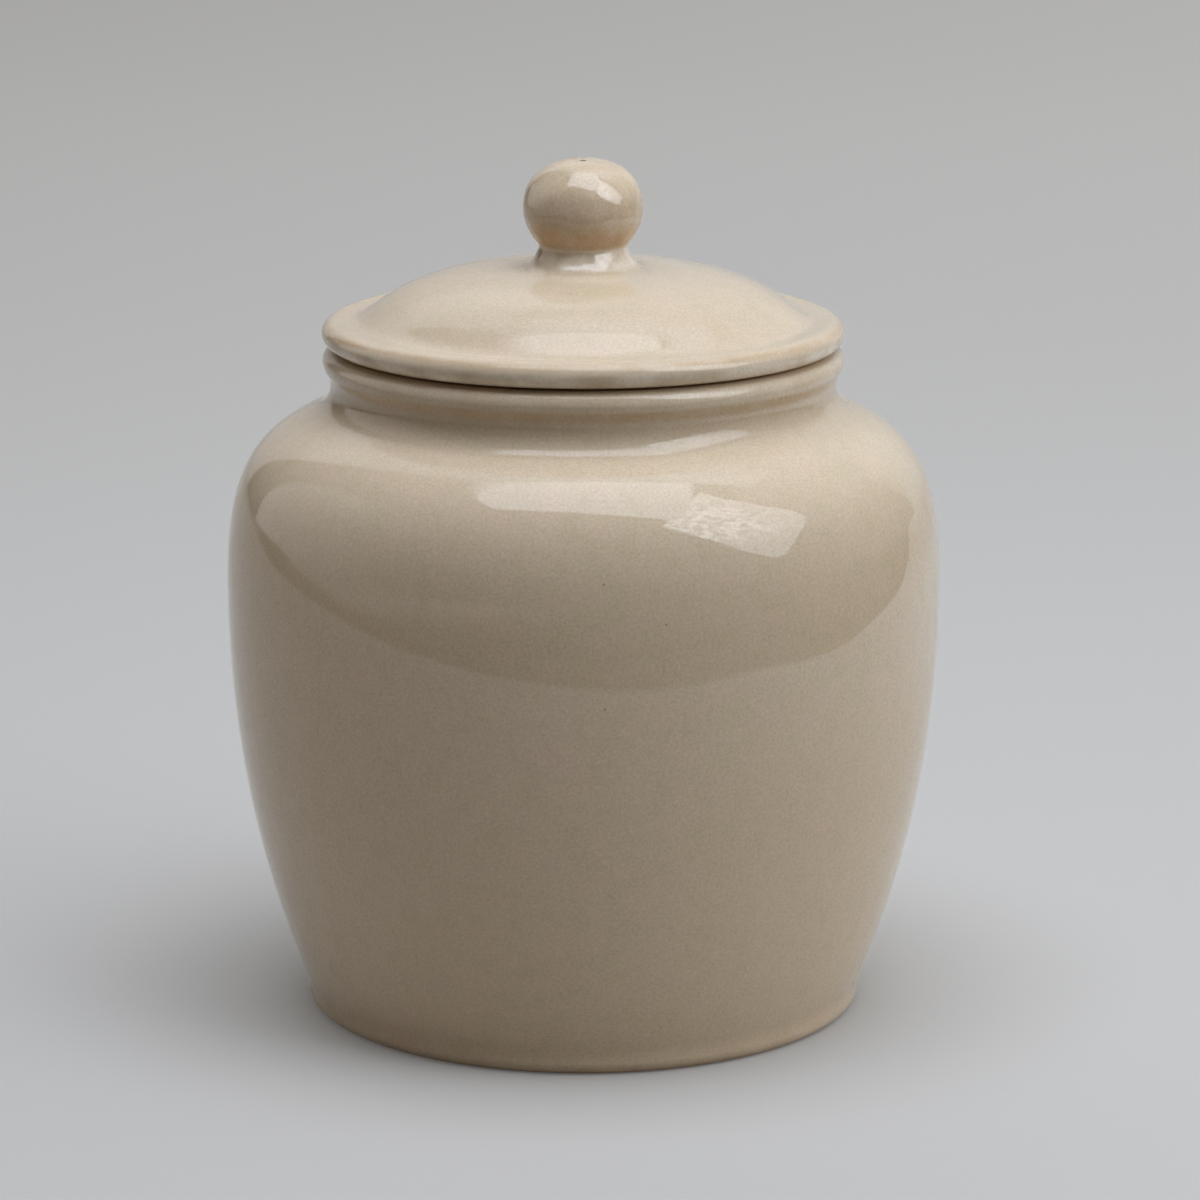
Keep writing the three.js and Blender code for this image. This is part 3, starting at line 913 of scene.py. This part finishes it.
def glow(nodes, colour, cover=None):
    """Makes the card give off its colour, and lets rays through where it has a cover of less than 1."""
    nodes.remove(nodes["Principled BSDF"])
    look = colour.node("ShaderNodeEmission", Color=colour)
    if cover:
        blend = nodes.new("ShaderNodeMixShader")
        plug(cover, blend.inputs[0])
        plug(cover.node("ShaderNodeBsdfTransparent"), blend.inputs[1])
        plug(look, blend.inputs[2])
        look = Wire(blend.outputs[0])
    plug(look, nodes["Material Output"].inputs["Surface"])


# %% Overhead softbox, with a bright core and a dimmer, cooler rear
CORE_BACK = 0.31
CORE_RIGHT = 0.48
CORE_SLANT = 0.3
CORE_FADE = 0.012
OVERHEAD_LEFT = -0.64
overhead = card("overhead_softbox", np.array([
    (-0.62, -0.54, OVERHEAD_HEIGHT),
    (0.88, -1.03, OVERHEAD_HEIGHT),
    (0.88, 1.00, OVERHEAD_HEIGHT),
    (-0.66, 1.30, OVERHEAD_HEIGHT),
]))
overhead_place = Wire(overhead.new("ShaderNodeTexCoord").outputs["Object"])
overhead_x, overhead_y, _ = split(overhead_place)
core = ramp(overhead_y, CORE_BACK + CORE_FADE, CORE_BACK - CORE_FADE)
past_core = overhead_x - CORE_RIGHT + CORE_SLANT * (overhead_y - CORE_BACK)
overhead_mirrored = Wire(overhead.new("ShaderNodeLightPath").outputs["Is Glossy Ray"])
overhead_colour = mix(overhead_mirrored, OVERHEAD_REAR, OVERHEAD_REAR_MIRRORED)
overhead_colour = mix(ramp(overhead_y, 0.45, 1.0), overhead_colour, OVERHEAD_END)
overhead_colour = mix(core, overhead_colour, mix(overhead_mirrored, OVERHEAD_LIGHT, OVERHEAD_MIRRORED))
softness = 0.02 + 0.45 * ramp(overhead_y, -0.3, 0.5)
cut_away = core * ramp(past_core, -0.02, 0.02)
overhead_cover = ramp(overhead_x - OVERHEAD_LEFT, 0.0, softness) * (1 - cut_away)
glow(overhead, overhead_colour, overhead_cover)

# %% Side softbox, a little uneven
SIDE_AZIMUTH, SIDE_ELEVATION = np.radians([69, 36])
SIDE_DISTANCE = 1.6
SIDE_AIM_Z = 0.16
SIDE_LACE = 0.9
SIDE_DIP = 0.35
SIDE_SHEEN = 1.2
side_way = np.array([
    np.sin(SIDE_AZIMUTH) * np.cos(SIDE_ELEVATION),
    -np.cos(SIDE_AZIMUTH) * np.cos(SIDE_ELEVATION),
    np.sin(SIDE_ELEVATION),
])
side_right = np.array([np.cos(SIDE_AZIMUTH), np.sin(SIDE_AZIMUTH), 0])
side_up = np.cross(side_way, side_right)
side_centre = SIDE_DISTANCE * side_way + (0, 0, SIDE_AIM_Z)
side_corners = np.array([
    (-0.80, 0.45),
    (-0.75, 0.10),
    (-0.49, -0.49),
    (-0.20, -0.74),
    (-0.05, -0.73),
    (0.36, -0.25),
    (0.37, -0.08),
    (0.20, 0.31),
    (0.19, 0.75),
    (0.33, 1.08),
])
side = card("side_softbox", side_centre + side_corners @ np.array([side_right, side_up]))

# %% Glow of the side softbox
side_place = Wire(side.new("ShaderNodeTexCoord").outputs["Object"])
side_mirrored = Wire(side.new("ShaderNodeLightPath").outputs["Is Glossy Ray"])
side_x, side_y, side_z = split(side_place)
side_across = side_right[0] * side_x + side_right[1] * side_y
side_veins = noise(side_place, 150, 4, 0.6)
side_part = ramp(side_across, 0.40, -0.30) * ramp(side_z, 0.65, 1.05)
side_off_vein = side_veins - 0.5
side_lace = side_part * ramp(side_off_vein * side_off_vein, 0.003, 0.0)
side_evenness = 1 - SIDE_DIP * side_mirrored
side_level = side_evenness + SIDE_LACE * side_mirrored * side_lace
side_level = side_level * (1 + SIDE_SHEEN * side_mirrored)
glow(side, scaled(side_level, SIDE_LIGHT))

# %% [markdown]
# ## Camera
#
# The jar is seen from a little above, through a long lens, so its upright edges stay almost parallel.

# %% Camera
CAMERA_DOWN = np.radians(13.17)
CAMERA_TURN = np.radians(-0.196)
camera_data = bpy.data.cameras.new("camera")
camera_data.lens = 148.8
camera_data.sensor_width = 36.0
camera = bpy.data.objects.new("camera", camera_data)
camera.location = (0, -1.430, 0.455)
camera.rotation_euler = (np.pi / 2 - CAMERA_DOWN, 0, CAMERA_TURN)
bpy.context.scene.collection.objects.link(camera)
bpy.context.scene.camera = camera
bpy.context.scene.view_settings.view_transform = "Standard"
print("camera", round(np.hypot(camera.location.y, camera.location.z), 2), "m away, lens", camera_data.lens)
